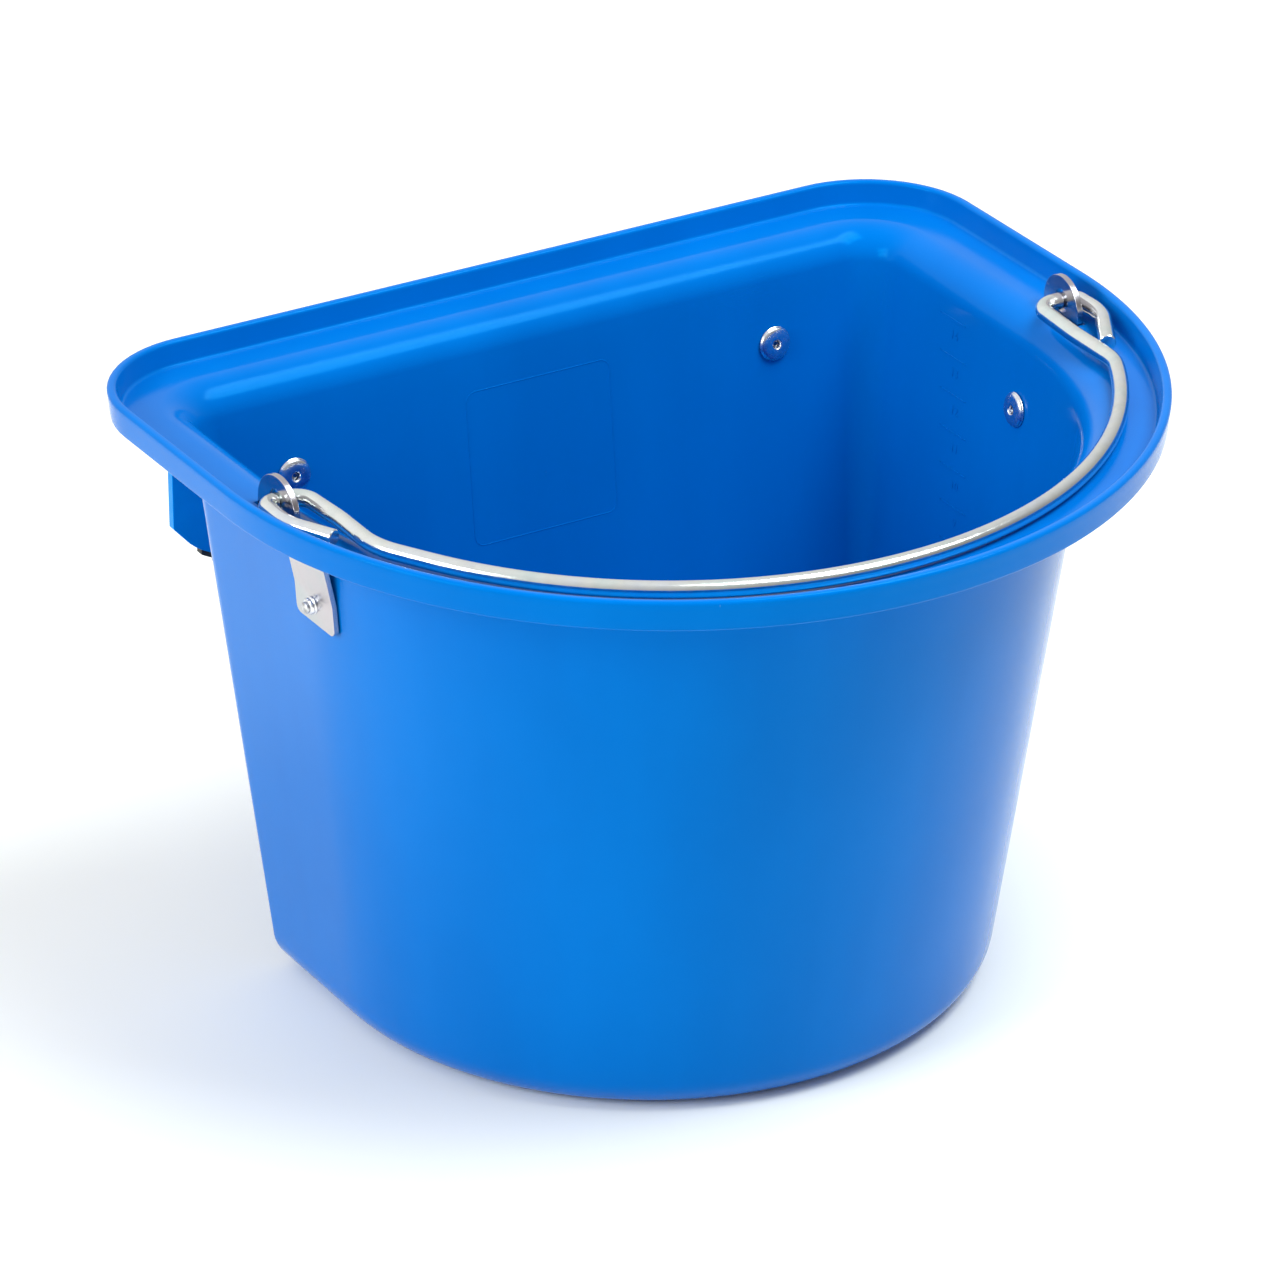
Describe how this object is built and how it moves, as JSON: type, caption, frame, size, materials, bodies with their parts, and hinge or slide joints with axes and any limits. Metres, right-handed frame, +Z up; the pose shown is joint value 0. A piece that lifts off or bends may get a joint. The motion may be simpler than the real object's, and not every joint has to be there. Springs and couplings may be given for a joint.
{
  "type": "feed bucket",
  "caption": "D-shaped plastic feed bucket with a flat back, a ledge rim, a swinging steel bail held in riveted brackets and rear hooks that hang it over a board.",
  "frame": {"origin": "on the flat base, at floor level, straight below the centre of the lip's half-round front", "axes": "+Z up, +Y towards the flat back and its hooks, +X to the right seen from the round front; the bucket is 400 mm wide along X"},
  "size_m": [0.3998, 0.3537, 0.2684],
  "materials": {
    "blue_plastic": "glossy moulded polypropylene",
    "hook_plastic": "satin moulded plastic",
    "zinc_wire": "bright zinc plated steel",
    "zinc_strap": "zinc plated steel strip",
    "rivet_body": "satin aluminium alloy",
    "rivet_stem": "plain steel",
    "black_rubber": "matt black rubber"
  },
  "bodies": {
    "bucket": {"bucket_shell": "blue_plastic", "bail_bracket_left": "zinc_strap", "bail_bracket_right": "zinc_strap", "bracket_rivet_left": "rivet_body", "bracket_rivet_right": "rivet_body", "bracket_rivet_mandrel_left": "rivet_stem", "bracket_rivet_mandrel_right": "rivet_stem", "rear_hook_left": "hook_plastic", "rear_hook_right": "hook_plastic", "hook_tip_left": "black_rubber", "hook_tip_right": "black_rubber", "hook_rivet_left": "rivet_body", "hook_rivet_right": "rivet_body", "hook_rivet_mandrel_left": "rivet_stem", "hook_rivet_mandrel_right": "rivet_stem"},
    "bail": {"bail_handle": "zinc_wire"}
  },
  "joints": [
    {"name": "bail_swing", "type": "hinge", "parent": "bucket", "child": "bail", "pos_m": [0, -0.01227, 0.258], "axis": [-1, 0, 0], "range_deg": [0, 177]}
  ]
}
